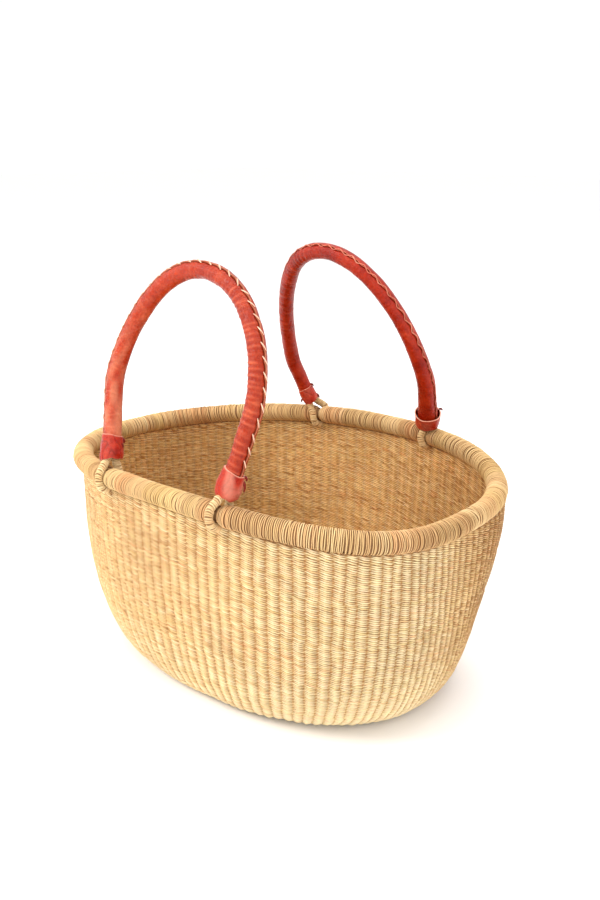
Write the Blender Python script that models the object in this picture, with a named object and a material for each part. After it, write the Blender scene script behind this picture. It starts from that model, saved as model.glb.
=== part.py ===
"""Oval woven grass market basket with two swinging leather-covered handles.

Frame: +X along the basket's length, -Y the front long side, +Z up, origin at the middle of the
base, where it stands. Every handle is hung on the rim by two grass loops, which turn round it.
"""

from math import acos, atan2, cos, degrees, exp, hypot, pi, radians, sin

import bmesh
import bpy
from mathutils import Matrix, Vector

MM = 0.001

# Rim: an oval hoop, squarer at its right end than at its left one
RIM_HALF_LENGTH = 230 * MM
RIM_HALF_WIDTH = 165 * MM
RIM_HEIGHT = 225.7 * MM
SQUARENESS_LEFT = 2.24
SQUARENESS_RIGHT = 2.59
END_SAG = 15.5 * MM
END_TILT = 4.5 * MM
HOOP_TWIST = 2.7 * MM
RIGHT_END_DROOP = 5.8 * MM
RIM_CORE_RADIUS = 5.2 * MM
RIM_WRAP_BORE = 6.3 * MM
RIM_WRAP_RADIUS = 9.6 * MM
RIM_WRAP_STEP = 22 * MM
RIM_WRAP_END = 12 * MM
SEAT_DEPTH = 2.2 * MM
SEAT_WIDTH = 5.0 * MM

# Woven body: a flat oval base that rounds up into nearly upright walls
WALL = 4.5 * MM
BASE_LENGTH_RATIO = 0.766
BASE_WIDTH_RATIO = 0.717
BASE_SQUARENESS = 2.05
CURVE_IN = 3.14
CURVE_OUT = 1.94
WALL_PROUD = 2.2 * MM
SHOULDER_AT = 28
SHOULDER_REACH = 34
SHOULDER_SHIFT = 7.0 * MM
WALL_TOP_GAP = 0.5 * MM

# Loops: wrapped grass strands round the rim, whose two legs rise into a leather cuff
STRAND_RADIUS = 3.75 * MM
STRAND_CORE_RADIUS = 2.6 * MM
LOOP_RADIUS = 12.6 * MM
LEG_SPACING = 8.2 * MM
LEG_BEND_HEIGHT = 19 * MM
STRAND_CORE_TOP = 26.5 * MM
NOTCH_CLEARANCE = 1.6 * MM

# Handles: a grass core in a leather sleeve, laced along the outside of the arch
LOOP_OFFSET = 77.9 * MM
HANDLE_CORE_RADIUS = 6.4 * MM
HANDLE_CORE_START = 27.8 * MM
SLEEVE_START = 21 * MM
LEG_LEAN_START = 6 * MM
LEFT_SHOULDER = 0.055
LEATHER = 1.3 * MM
SEAM_GAP = 0.8 * MM
LACE_WIDTH = 4.0 * MM
LACE_THICKNESS = 0.9 * MM
LACE_START = 42.5 * MM
GAP = 0.3 * MM

# Each handle's arch: half its widest width, the height of that width, its height, and its lean in
# degrees; how soon its left and right legs lean out; then its sleeve: its radius, how much wider it
# gets at its right foot, and how far in degrees its laced seam is turned from the outside to the front
HANDLES = {
    "front": {
        "side": -1,
        "half_width": 96.0 * MM,
        "wide_at": 96.7 * MM,
        "height": 211.2 * MM,
        "lean": 17.0,
        "flare": {-1: -0.4, 1: 0.7},
        "sleeve": 8.6 * MM,
        "foot_flare": 0.0,
        "seam": 37.0,
    },
    "rear": {
        "side": 1,
        "half_width": 94.4 * MM,
        "wide_at": 69.4 * MM,
        "height": 221.9 * MM,
        "lean": 22.5,
        "flare": {-1: 1.5, 1: 0.7},
        "sleeve": 8.4 * MM,
        "foot_flare": 2.6 * MM,
        "seam": 16.0,
    },
}
# Each cuff: its lower and upper ends above the loop's axis, and its outer radius at each
CUFF = {"ends": (18.0 * MM, 41.5 * MM), "radii": (11.3 * MM, 10.6 * MM)}
BAND = {"ends": (19.5 * MM, 37.0 * MM), "radii": (10.7 * MM, 10.3 * MM)}
COLLAR = {"ends": (16.0 * MM, 31.0 * MM), "radii": (13.2 * MM, 14.2 * MM)}
CUFFS = {("front", -1): CUFF, ("front", 1): CUFF, ("rear", -1): BAND, ("rear", 1): COLLAR}

AROUND_BODY = 60
BODY_LEVELS = 9
TUBE_SIDES = 10
STRAND_SIDES = 8
FINE_RIM_STEPS = 720
LEG_STEPS = 5
CROWN_STEPS = 16
RING_STEPS = 11
CUTTER_STEPS = 24
CUFF_STEPS = 3
LEVEL_SPACING = 1.7
FOOT_FLARE_POWER = 10
ARCH_NORMAL = Vector((0, 1, 0))
ALONG_RIM = Vector((1, 0, 0))
UP = Vector((0, 0, 1))

COLOURS = {
    "woven_grass": (0.62, 0.40, 0.17, 1),
    "rim_grass": (0.66, 0.46, 0.22, 1),
    "strand_grass": (0.70, 0.52, 0.26, 1),
    "core_grass": (0.50, 0.36, 0.18, 1),
    "front_leather": (0.46, 0.07, 0.035, 1),
    "rear_leather": (0.36, 0.04, 0.02, 1),
    "cuff_leather": (0.38, 0.02, 0.018, 1),
    "lace_leather": (0.62, 0.20, 0.13, 1),
}


def clear_scene():
    for old in list(bpy.data.objects):
        bpy.data.objects.remove(old, do_unlink=True)


def material(name):
    found = bpy.data.materials.get(name)
    if found:
        return found
    made = bpy.data.materials.new(name)
    made.use_nodes = True
    shader = made.node_tree.nodes["Principled BSDF"]
    shader.inputs["Base Color"].default_value = COLOURS[name]
    shader.inputs["Roughness"].default_value = 0.45 if "leather" in name else 0.7
    return made


# ---------------------------------------------------------------- meshes from rings of points


def skin(name, rings, looped, finish, parent=None):
    """A closed solid through rings of points; its ends are capped, or joined when it is looped."""
    count = len(rings[0])
    mesh = bpy.data.meshes.new(name)
    work = bmesh.new()
    corners = [[work.verts.new(point) for point in ring] for ring in rings]
    pairs = list(zip(corners, corners[1:]))
    if looped:
        pairs.append((corners[-1], corners[0]))
    for low, high in pairs:
        for i in range(count):
            j = (i + 1) % count
            work.faces.new((low[i], low[j], high[j], high[i]))
    if not looped:
        work.faces.new(corners[0])
        work.faces.new(corners[-1])
    bmesh.ops.recalc_face_normals(work, faces=work.faces)
    work.to_mesh(mesh)
    work.free()
    mesh.materials.append(material(finish))
    mesh.shade_smooth()
    mesh.set_sharp_from_angle(angle=radians(40))
    solid = bpy.data.objects.new(name, mesh)
    bpy.context.scene.collection.objects.link(solid)
    solid.parent = parent
    return solid


def frames(path, upright, looped=False):
    """At each point of a path: the point, the direction across it in its plane, and the plane's normal."""
    found = []
    last = len(path) - 1
    for i, point in enumerate(path):
        before = path[i - 1] if i or looped else point
        after = path[(i + 1) % len(path)] if i < last or looped else point
        along = (after - before).normalized()
        across = along.cross(upright).normalized()
        found.append((point, across, across.cross(along)))
    return found


def circle(frame, radius, sides=TUBE_SIDES):
    point, across, up = frame
    turns = [2 * pi * k / sides for k in range(sides)]
    return [point + radius * (cos(turn) * across + sin(turn) * up) for turn in turns]


def tube(name, along, radius, finish, looped=False, parent=None, sides=TUBE_SIDES):
    """A solid round bar through the frames of a path."""
    rings = [circle(frame, radius, sides) for frame in along]
    return skin(name, rings, looped, finish, parent)


def shell(name, along, outer, inner, finish, parent=None, sides=TUBE_SIDES):
    """An open-ended tube with a wall: outer and inner are its radii at each frame of the path."""
    outside = [circle(frame, radius, sides) for frame, radius in zip(along, outer)]
    inside = [circle(frame, radius, sides) for frame, radius in zip(along, inner)]
    return skin(name, outside + inside[::-1], True, finish, parent)


# ---------------------------------------------------------------- the oval body and its rim


def oval(turn, half_length, half_width, square):
    """A point of a superellipse in the direction of turn, which is spread evenly round the oval."""
    c, s = half_length * cos(turn), half_width * sin(turn)
    reach = (abs(c / half_length) ** square + abs(s / half_width) ** square) ** (-1 / square)
    return reach * c, reach * s


def squareness(turn):
    return SQUARENESS_LEFT + (SQUARENESS_RIGHT - SQUARENESS_LEFT) * (1 + cos(turn)) / 2


def rim_height(x, y):
    """The hoop's centre is highest over its long sides, and hangs lower at its ends."""
    along, across = x / RIM_HALF_LENGTH, y / RIM_HALF_WIDTH
    lift = END_TILT * along + HOOP_TWIST * along * across
    return RIM_HEIGHT - END_SAG * along**2 + lift - RIGHT_END_DROOP * along**3


def rim_point(turn):
    x, y = oval(turn, RIM_HALF_LENGTH, RIM_HALF_WIDTH, squareness(turn))
    return Vector((x, y, rim_height(x, y)))


def loop_turn(side_x, side_y):
    """Where along the rim a handle's loop sits, by halving the quarter turn that holds it."""
    low, high = 0.0, pi / 2
    for _ in range(40):
        middle = (low + high) / 2
        turn = atan2(side_y * sin(middle), side_x * cos(middle))
        if abs(rim_point(turn).x) > LOOP_OFFSET:
            low = middle
        else:
            high = middle
    return atan2(side_y * sin(low), side_x * cos(low))


def swell(level):
    """How far the wall has come out, from 0 at the base to 1 at the rim."""
    return (1 - (1 - level) ** CURVE_IN) ** (1 / CURVE_OUT)


def shoulder(turn, level):
    """How far out the wall stands at its right rear shoulder: out under the rim, in below the middle."""
    away = (degrees(turn) - SHOULDER_AT + 180) % 360 - 180
    if abs(away) >= SHOULDER_REACH:
        return 0
    near = (1 + cos(pi * away / SHOULDER_REACH)) / 2
    return -SHOULDER_SHIFT * near * sin(1.5 * pi * level)


def body_point(turn, level):
    """The wall's outer surface; level runs from 0 at the base to 1 just under the rim's wrapping."""
    x, y = oval(turn, RIM_HALF_LENGTH, RIM_HALF_WIDTH, squareness(turn))
    top = rim_height(x, y)
    under_wrap = top - RIM_WRAP_RADIUS - WALL_TOP_GAP
    out = swell(level * under_wrap / top)
    extra = WALL_PROUD * out + shoulder(turn, level)
    half_length = RIM_HALF_LENGTH * (BASE_LENGTH_RATIO + (1 - BASE_LENGTH_RATIO) * out) + extra
    half_width = RIM_HALF_WIDTH * (BASE_WIDTH_RATIO + (1 - BASE_WIDTH_RATIO) * out) + extra
    square = BASE_SQUARENESS + (squareness(turn) - BASE_SQUARENESS) * out
    return Vector((*oval(turn, half_length, half_width, square), level * under_wrap))


def inner_point(turn, level):
    """The outer surface moved in by the wall's thickness, straight up at the base."""
    small = 1e-3
    if level == 0:
        inward = UP
    else:
        rise = body_point(turn, level) - body_point(turn, level - small)
        round_it = body_point(turn + small, level) - body_point(turn - small, level)
        inward = rise.cross(round_it).normalized()
        if level == 1:
            inward = Vector((inward.x, inward.y, 0)).normalized()
    return body_point(turn, level) + WALL * inward


def woven_body(axes):
    turns = [2 * pi * k / AROUND_BODY for k in range(AROUND_BODY)]
    levels = [(k / BODY_LEVELS) ** LEVEL_SPACING for k in range(BODY_LEVELS + 1)]
    outside = [[body_point(turn, level) for turn in turns] for level in levels]
    inside = [[inner_point(turn, level) for turn in turns] for level in reversed(levels)]
    body = skin("woven_body", outside + inside, False, "woven_grass")
    for name, axis in axes.items():
        for side in (-1, 1):
            body.modifiers.new(f"{name}_{side}", "BOOLEAN").object = notch_cutter(name, side, axis)


def notch_cutter(name, side, axis):
    """The room that a loop turns in, where it passes through the wall under the rim."""
    centre = Vector((side * axis["half_span"], 0, 0))
    turns = [2 * pi * k / CUTTER_STEPS for k in range(CUTTER_STEPS)]
    path = [centre + LOOP_RADIUS * Vector((0, cos(turn), sin(turn))) for turn in turns]
    radius = STRAND_RADIUS + NOTCH_CLEARANCE
    along = frames(path, ALONG_RIM, looped=True)
    cutter = tube(f"notch_{name}_{side}", along, radius, "woven_grass", looped=True, parent=axis["empty"])
    cutter.hide_render = True
    cutter.display_type = "WIRE"
    return cutter


def rim():
    steps = range(FINE_RIM_STEPS)
    hoop = [rim_point(2 * pi * k / FINE_RIM_STEPS) for k in steps]
    along = frames(hoop[:: FINE_RIM_STEPS // AROUND_BODY], UP, looped=True)
    tube("rim_core", along, RIM_CORE_RADIUS, "core_grass", looped=True, sides=8)
    ends = {
        "front": (loop_turn(-1, -1), loop_turn(1, -1)),
        "right": (loop_turn(1, -1), loop_turn(1, 1)),
        "rear": (loop_turn(1, 1), loop_turn(-1, 1)),
        "left": (loop_turn(-1, 1), loop_turn(-1, -1)),
    }
    for name, (start, stop) in ends.items():
        rim_wrap(name, start, stop + 2 * pi if stop < start else stop)


def rim_wrap(name, start, stop):
    """The grass wound round the rim between two loops, drawn in where a loop bears on it."""
    fine = [rim_point(start + (stop - start) * k / FINE_RIM_STEPS) for k in range(FINE_RIM_STEPS + 1)]
    walked = [0.0]
    for before, after in zip(fine, fine[1:]):
        walked.append(walked[-1] + (after - before).length)
    length = walked[-1]
    even = length - 2 * RIM_WRAP_END
    spans = max(4, round(even / RIM_WRAP_STEP))
    middle = [RIM_WRAP_END + even * k / spans for k in range(spans + 1)]
    near_end = [0.5 * GAP] + [RIM_WRAP_END * k / 4 for k in range(1, 4)]
    places = near_end + middle + [length - place for place in reversed(near_end)]
    path = [fine[min(range(len(walked)), key=lambda k: abs(walked[k] - place))] for place in places]
    outer = [seat_radius(min(place, length - place)) for place in places]
    inner = [RIM_WRAP_BORE] * len(places)
    shell(f"rim_wrap_{name}", frames(path, UP), outer, inner, "rim_grass")


def seat_radius(distance):
    return RIM_WRAP_RADIUS - SEAT_DEPTH * exp(-((distance / SEAT_WIDTH) ** 2))


# ---------------------------------------------------------------- handles


def handle_axis(name, shape):
    """The empty that a handle hangs on: its X joins the two loops, and its Z is the arch's upright."""
    left = rim_point(loop_turn(-1, shape["side"]))
    right = rim_point(loop_turn(1, shape["side"]))
    along = (right - left).normalized()
    inward = UP.cross(along).normalized()
    upright = along.cross(inward)
    turned = Matrix((along, inward, upright)).transposed().to_4x4()
    lean = Matrix.Rotation(radians(shape["side"] * shape["lean"]), 4, "X")
    empty = bpy.data.objects.new(f"{name}_handle_axis", None)
    bpy.context.scene.collection.objects.link(empty)
    empty.matrix_world = Matrix.Translation((left + right) / 2) @ turned @ lean
    return {"empty": empty, "half_span": (right - left).length / 2}


def leg_point(shape, half_span, side, height):
    """A point on a leg of the arch, which leans out from its loop to the arch's full width."""
    rise = max(0.0, (height - LEG_LEAN_START) / (shape["wide_at"] - LEG_LEAN_START))
    spread = (shape["half_width"] - half_span) * rise * (1 + shape["flare"][side] * (1 - rise) ** 2)
    return Vector((side * (half_span + spread), 0, height))


def arch(shape, half_span, start):
    """The handle's centre line, from its left leg over the top to its right one."""
    rise = shape["wide_at"] - start
    heights = [start + rise * k / LEG_STEPS for k in range(LEG_STEPS)]
    left = [leg_point(shape, half_span, -1, height) for height in heights]
    right = [leg_point(shape, half_span, 1, height) for height in reversed(heights)]
    over = [crown_point(shape, pi * k / CROWN_STEPS) for k in range(CROWN_STEPS + 1)]
    return left + over + right


def crown_point(shape, turn):
    """A point over the top of the arch, whose left shoulder is drawn in a little."""
    reach = shape["half_width"] * (1 - LEFT_SHOULDER * max(0.0, sin(2 * turn)))
    crown = shape["height"] - shape["wide_at"]
    return Vector((-reach * cos(turn), 0, shape["wide_at"] + crown * sin(turn)))


def sleeve_frames(shape, half_span, start):
    """The arch's frames, each turned to face the seam, with the sleeve's outer radius there."""
    path = arch(shape, half_span, start)
    walked = [0.0]
    for before, after in zip(path, path[1:]):
        walked.append(walked[-1] + (after - before).length)
    found = []
    for (point, across, up), place in zip(frames(path, ARCH_NORMAL), walked):
        past_crown = max(0.0, point.x / shape["half_width"])
        turn = radians(shape["seam"]) * (1 - past_crown)
        faced = cos(turn) * across - sin(turn) * up
        beside = sin(turn) * across + cos(turn) * up
        radius = shape["sleeve"] + shape["foot_flare"] * (place / walked[-1]) ** FOOT_FLARE_POWER
        found.append((point, faced, beside, radius))
    return found


def sleeve(name, shape, half_span, parent):
    """The leather tube, open along its outer side, where its edges are laced together."""
    half_gap = SEAM_GAP / 2 / shape["sleeve"]
    turns = [half_gap + (2 * pi - 2 * half_gap) * k / TUBE_SIDES for k in range(TUBE_SIDES + 1)]
    rings = []
    for point, faced, beside, radius in sleeve_frames(shape, half_span, SLEEVE_START):
        spokes = [cos(turn) * faced + sin(turn) * beside for turn in turns]
        outside = [point + radius * spoke for spoke in spokes]
        inside = [point + (radius - LEATHER) * spoke for spoke in reversed(spokes)]
        rings.append(outside + inside)
    skin(f"{name}_handle_sleeve", rings, False, f"{name}_leather", parent)


def lacing(name, shape, half_span, parent):
    """The thong over the sleeve's seam, a flat strip as wide as its zigzag."""
    half = LACE_WIDTH / 2
    rings = []
    for point, faced, beside, radius in sleeve_frames(shape, half_span, LACE_START):
        low = radius + GAP
        high = low + LACE_THICKNESS
        corners = ((low, -half), (high, -half / 2), (high, half / 2), (low, half))
        rings.append([point + out * faced + over * beside for out, over in corners])
    skin(f"{name}_handle_lacing", rings, False, "lace_leather", parent)


def cuff(name, side, shape, half_span, parent):
    size = CUFFS[name, side]
    low, high = size["ends"]
    steps = [k / CUFF_STEPS for k in range(CUFF_STEPS + 1)]
    path = [leg_point(shape, half_span, side, low + (high - low) * step) for step in steps]
    outer = [size["radii"][0] + (size["radii"][1] - size["radii"][0]) * step for step in steps]
    inner = [radius - LEATHER for radius in outer]
    place = "left" if side < 0 else "right"
    shell(f"{name}_{place}_cuff", frames(path, ARCH_NORMAL), outer, inner, "cuff_leather", parent)


def strand_path(shape, half_span, side):
    """Down one leg, round under the rim and up the other; the legs lean out with the handle's."""
    half = LEG_SPACING / 2
    reach = hypot(half, LEG_BEND_HEIGHT)
    leave = atan2(half, LEG_BEND_HEIGHT) + acos(LOOP_RADIUS / reach)
    turns = [leave + (2 * pi - 2 * leave) * k / RING_STEPS for k in range(RING_STEPS + 1)]
    ring = [Vector((0, LOOP_RADIUS * sin(turn), LOOP_RADIUS * cos(turn))) for turn in turns]
    near = [Vector((0, half, STRAND_CORE_TOP)), Vector((0, half, LEG_BEND_HEIGHT))]
    far = [Vector((0, -half, LEG_BEND_HEIGHT)), Vector((0, -half, STRAND_CORE_TOP))]
    points = near + ring + far
    return [Vector((leg_point(shape, half_span, side, point.z).x, point.y, point.z)) for point in points]


def loop(name, side, shape, half_span, parent):
    """A grass strand round the rim, bare inside the cuff and wrapped below it."""
    place = "left" if side < 0 else "right"
    along = frames(strand_path(shape, half_span, side), ALONG_RIM)
    tube(f"{name}_{place}_loop_core", along, STRAND_CORE_RADIUS, "core_grass", parent=parent, sides=6)
    wrapped = along[1:-1]
    outer = [STRAND_RADIUS] * len(wrapped)
    inner = [STRAND_CORE_RADIUS + GAP] * len(wrapped)
    shell(f"{name}_{place}_loop_wrap", wrapped, outer, inner, "strand_grass", parent, STRAND_SIDES)


def handle(name, shape, axis):
    half_span, parent = axis["half_span"], axis["empty"]
    along = frames(arch(shape, half_span, HANDLE_CORE_START), ARCH_NORMAL)
    tube(f"{name}_handle_core", along, HANDLE_CORE_RADIUS, "core_grass", parent=parent, sides=8)
    sleeve(name, shape, half_span, parent)
    lacing(name, shape, half_span, parent)
    for side in (-1, 1):
        loop(name, side, shape, half_span, parent)
        cuff(name, side, shape, half_span, parent)


def main():
    clear_scene()
    axes = {name: handle_axis(name, shape) for name, shape in HANDLES.items()}
    bpy.context.view_layer.update()
    woven_body(axes)
    rim()
    for name, shape in HANDLES.items():
        handle(name, shape, axes[name])


main()
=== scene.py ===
"""Looks of the oval woven grass market basket: twined walls, wound rim and loops, laced leather handles."""

from math import acos, atan2, cos, hypot, pi, radians, sin

import bpy
import numpy as np
from mathutils import Matrix, Vector


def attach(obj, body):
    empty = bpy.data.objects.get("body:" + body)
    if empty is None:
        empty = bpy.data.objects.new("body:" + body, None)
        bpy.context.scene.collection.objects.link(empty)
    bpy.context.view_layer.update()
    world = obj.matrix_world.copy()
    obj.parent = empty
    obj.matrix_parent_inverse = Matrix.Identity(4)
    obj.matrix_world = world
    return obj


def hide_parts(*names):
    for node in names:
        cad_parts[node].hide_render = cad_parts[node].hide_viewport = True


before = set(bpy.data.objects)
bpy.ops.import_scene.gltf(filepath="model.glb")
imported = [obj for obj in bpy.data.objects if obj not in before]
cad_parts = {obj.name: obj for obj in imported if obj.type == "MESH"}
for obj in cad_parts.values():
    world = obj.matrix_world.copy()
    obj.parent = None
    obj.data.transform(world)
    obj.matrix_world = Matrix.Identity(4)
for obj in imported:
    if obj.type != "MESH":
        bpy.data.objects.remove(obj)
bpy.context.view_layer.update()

MM = 0.001

# The CAD part's own dimensions
RIM_HALF_LENGTH = 230 * MM
RIM_HALF_WIDTH = 165 * MM
RIM_HEIGHT = 225.7 * MM
SQUARENESS_LEFT = 2.24
SQUARENESS_RIGHT = 2.59
END_SAG = 15.5 * MM
END_TILT = 4.5 * MM
HOOP_TWIST = 2.7 * MM
RIGHT_END_DROOP = 5.8 * MM
RIM_WRAP_RADIUS = 9.6 * MM
WALL = 4.5 * MM
BASE_LENGTH_RATIO = 0.766
BASE_WIDTH_RATIO = 0.717
BASE_SQUARENESS = 2.05
CURVE_IN = 3.14
CURVE_OUT = 1.94
WALL_PROUD = 2.2 * MM
SHOULDER_AT = 28
SHOULDER_REACH = 34
SHOULDER_SHIFT = 7.0 * MM
LOOP_RADIUS = 12.6 * MM
LEG_SPACING = 8.2 * MM
LEG_BEND_HEIGHT = 19 * MM
STRAND_CORE_TOP = 26.5 * MM
LOOP_OFFSET = 77.9 * MM
SLEEVE_START = 21 * MM
LEG_LEAN_START = 6 * MM
LEFT_SHOULDER = 0.055
HANDLES = {
    "front": {
        "side": -1, "half_width": 96.0 * MM, "wide_at": 96.7 * MM, "height": 211.2 * MM, "lean": 17.0,
        "flare": {-1: -0.4, 1: 0.7},
    },
    "rear": {
        "side": 1, "half_width": 94.4 * MM, "wide_at": 69.4 * MM, "height": 221.9 * MM, "lean": 22.5,
        "flare": {-1: 1.5, 1: 0.7},
    },
}

# The weave
RIBS = 118
RIB_SHARES = (0.0, 0.33, 0.5, 0.67)
STEPS = len(RIB_SHARES)
ROW_PITCH = 2.05 * MM
RIB_RADIUS = 1.25 * MM
SWING = 0.80 * MM
STRAND_THICK = 0.80 * MM
# Waves of the weave out of the wall and up it: seed, fewest and most round the wall, reach, height in mm
LUMPS = ((11, 4, 15, 0.09, 0.42), (12, 15, 45, 0.04, 0.16))
SLIPS = ((13, 5, 22, 0.16, 0.42), (15, 20, 60, 0.03, 0.14))
WALL_BANDS = 5
# The base's zones of rows: outer and inner edge as shares of its width, and how many ribs cross it
BASE_ZONES = ((1.0, 0.74, RIBS), (0.74, 0.5, RIBS), (0.5, 0.12, 60), (0.12, 0.0, 30))
BED_HALF_THICK = 0.25 * MM

# The rim's windings, and for each stretch: the middle and spread of how far they lean and of their tone,
# how dark the painted shade in the grooves between them is, and how much narrower than their pitch they are
RIM_PITCH = 1.75 * MM
RIM_WINDING_RADIUS = 9.75 * MM
RIM_BED_RADIUS = 9.10 * MM
RIM_END_ROUNDING = 3.4 * MM
RIM_END_REACH = 5.4 * MM
RIM_LEAN = {"front": (0.20, 0.10), "right": (0.04, 0.10), "rear": (0.15, 0.15), "left": (0.25, 0.15)}
RIM_TONE = {"front": (0.50, 0.08), "right": (0.46, 0.14), "rear": (0.52, 0.16), "left": (0.42, 0.14)}
RIM_PAINTED_GROOVE_LIGHT = {"front": 0.30, "right": -0.1, "rear": 0.0, "left": 0.15}
RIM_SPLIT = {"front": 0.0, "right": 0.20, "rear": 0.12, "left": 0.05}

# The loops' windings
LOOP_PITCH = {"front": 1.9 * MM, "rear": 1.6 * MM}
LOOP_TONE = {"front": 0.82, "rear": 0.66}
LOOP_WINDING_RADIUS = 3.50 * MM
LOOP_BED_RADIUS = 3.35 * MM
LOOP_HALF_THICK = 0.58 * MM

# The sleeves' seams, as degrees from straight out of the arch at shares of its length, and their stitches
SEAM_TURNS = {
    "front": ((0.0, 37), (0.3, 38), (0.5, 38), (0.68, 15), (0.8, 2), (1.0, 2)),
    "rear": ((0.0, 10), (0.3, 15), (0.5, 20), (0.68, 14), (0.85, 2), (1.0, 0)),
}
STITCH = {"front": 12.6 * MM, "rear": 14.0 * MM}
FRONT_STITCH_LENGTH = 7.4 * MM

# The camera, and each lamp's place, size, power and colour
CAMERA_LENS = 40.15
CAMERA_AZIMUTH = 41.57
CAMERA_ELEVATION = 17.47
CAMERA_DISTANCE = 1.05
CAMERA_TARGET = (0.0164, 0.0167, 0.2291)
LAMP_TARGET = (0, 0, 0.15)
LAMPS = (
    ("key", (-1.35, -1.75, 1.9), 1.3, 52, (1.0, 0.985, 0.96)),
    ("fill", (1.9, -1.3, 1.5), 2.0, 20, (1.0, 0.98, 0.96)),
    ("top", (0.1, 0.4, 2.4), 1.6, 26, (1.0, 1.0, 1.0)),
)
WORLD_COLOUR = (1.0, 0.995, 0.985, 1)
WORLD_STRENGTH = 1.03
FLOOR_HALF_SIZE = 12.0


# ---- numbers and meshes


def rib_turns(ribs):
    """Angles round the oval of every step of the weave, closer together between the ribs."""
    return 2 * pi / ribs * (np.arange(ribs)[:, None] + np.array(RIB_SHARES)).reshape(-1)


def bell(away, reach):
    return np.exp(-((away / reach) ** 2))


def near_turn(turns, middle, reach):
    """1 at an angle in degrees, falling smoothly to 0 over the reach to each side of it."""
    away = (turns - radians(middle) + pi) % (2 * pi) - pi
    return bell(away, radians(reach))


def unit(v):
    return v / np.linalg.norm(v, axis=-1, keepdims=True)


def waves(turn, high, seed, slow, fast, reach):
    """Smooth noise about -1 to 1 that closes round the oval; high is a distance up the wall in metres."""
    dice = np.random.default_rng(seed)
    total = 0
    for _ in range(14):
        around = dice.integers(slow, fast + 1) * dice.choice((-1, 1))
        upward = dice.uniform(-1, 1) * 2 * pi * high / reach
        total = total + np.sin(around * turn + upward + dice.uniform(0, 2 * pi))
    return total / 14**0.5


def layered(turn, high, layers):
    return sum(waves(turn, high, *wave) * size * MM for *wave, size in layers)


def grid_quads(tubes, rows, columns, close_rows, close_columns):
    """Quads of many grids of rows by columns, numbered one after another."""
    r = np.arange(rows if close_rows else rows - 1)
    c = np.arange(columns if close_columns else columns - 1)
    r, c = np.meshgrid(r, c, indexing="ij")
    r2, c2 = (r + 1) % rows, (c + 1) % columns
    one = np.stack([r * columns + c, r2 * columns + c, r2 * columns + c2, r * columns + c2], axis=-1)
    one = one.reshape(-1, 4)
    return (one[None] + (np.arange(tubes) * rows * columns)[:, None, None]).reshape(-1, 4)


def diamond(centre, thick, wide):
    """The four corners of a strand's section about each point of its centre line."""
    return np.stack([centre + thick, centre + wide, centre - thick, centre - wide], axis=-2)


def add_mesh(name, points, quads, body, finish, stands_for, attributes=None, sharp=None):
    """A smooth piece that rides a body and stands for CAD nodes; attributes are values for its points."""
    mesh = bpy.data.meshes.new(name)
    points = np.ascontiguousarray(points.reshape(-1, 3), np.float32)
    mesh.vertices.add(len(points))
    mesh.vertices.foreach_set("co", points.ravel())
    mesh.loops.add(quads.size)
    mesh.loops.foreach_set("vertex_index", quads.astype(np.int32).ravel())
    mesh.polygons.add(len(quads))
    mesh.polygons.foreach_set("loop_start", np.arange(0, quads.size, 4, dtype=np.int32))
    mesh.update(calc_edges=True)
    mesh.shade_smooth()
    if sharp:
        mesh.set_sharp_from_angle(angle=radians(sharp))
    for key, values in (attributes or {}).items():
        values = np.asarray(values, np.float32)
        kind, field = ("FLOAT_VECTOR", "vector") if key == "lay" else ("FLOAT", "value")
        mesh.attributes.new(key, kind, "POINT").data.foreach_set(field, values.ravel())
    mesh.materials.append(finish)
    piece = bpy.data.objects.new(name, mesh)
    bpy.context.scene.collection.objects.link(piece)
    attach(piece, body)
    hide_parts(*stands_for)


# ---- the CAD part's shapes


def oval(turn, half_length, half_width, square):
    c, s = np.cos(turn), np.sin(turn)
    reach = (np.abs(c) ** square + np.abs(s) ** square) ** (-1 / square)
    return half_length * reach * c, half_width * reach * s


def squareness(turn):
    return SQUARENESS_LEFT + (SQUARENESS_RIGHT - SQUARENESS_LEFT) * (1 + np.cos(turn)) / 2


def rim_height(x, y):
    along, across = x / RIM_HALF_LENGTH, y / RIM_HALF_WIDTH
    lift = END_TILT * along + HOOP_TWIST * along * across
    return RIM_HEIGHT - END_SAG * along**2 + lift - RIGHT_END_DROOP * along**3


def rim_points(turn):
    x, y = oval(turn, RIM_HALF_LENGTH, RIM_HALF_WIDTH, squareness(turn))
    return np.stack([x, y, rim_height(x, y)], axis=-1)


def loop_turn(side_x, side_y):
    low, high = 0.0, pi / 2
    for _ in range(40):
        middle = (low + high) / 2
        turn = atan2(side_y * sin(middle), side_x * cos(middle))
        if abs(rim_points(turn)[0]) > LOOP_OFFSET:
            low = middle
        else:
            high = middle
    return atan2(side_y * sin(low), side_x * cos(low))


def shoulder(turn, level):
    """How far out the wall stands at its right rear shoulder: out under the rim, in below the middle."""
    away = (np.degrees(turn) - SHOULDER_AT + 180) % 360 - 180
    near = (1 + np.cos(pi * (away / SHOULDER_REACH).clip(-1, 1))) / 2
    return -SHOULDER_SHIFT * near * np.sin(1.5 * pi * level)


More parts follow.
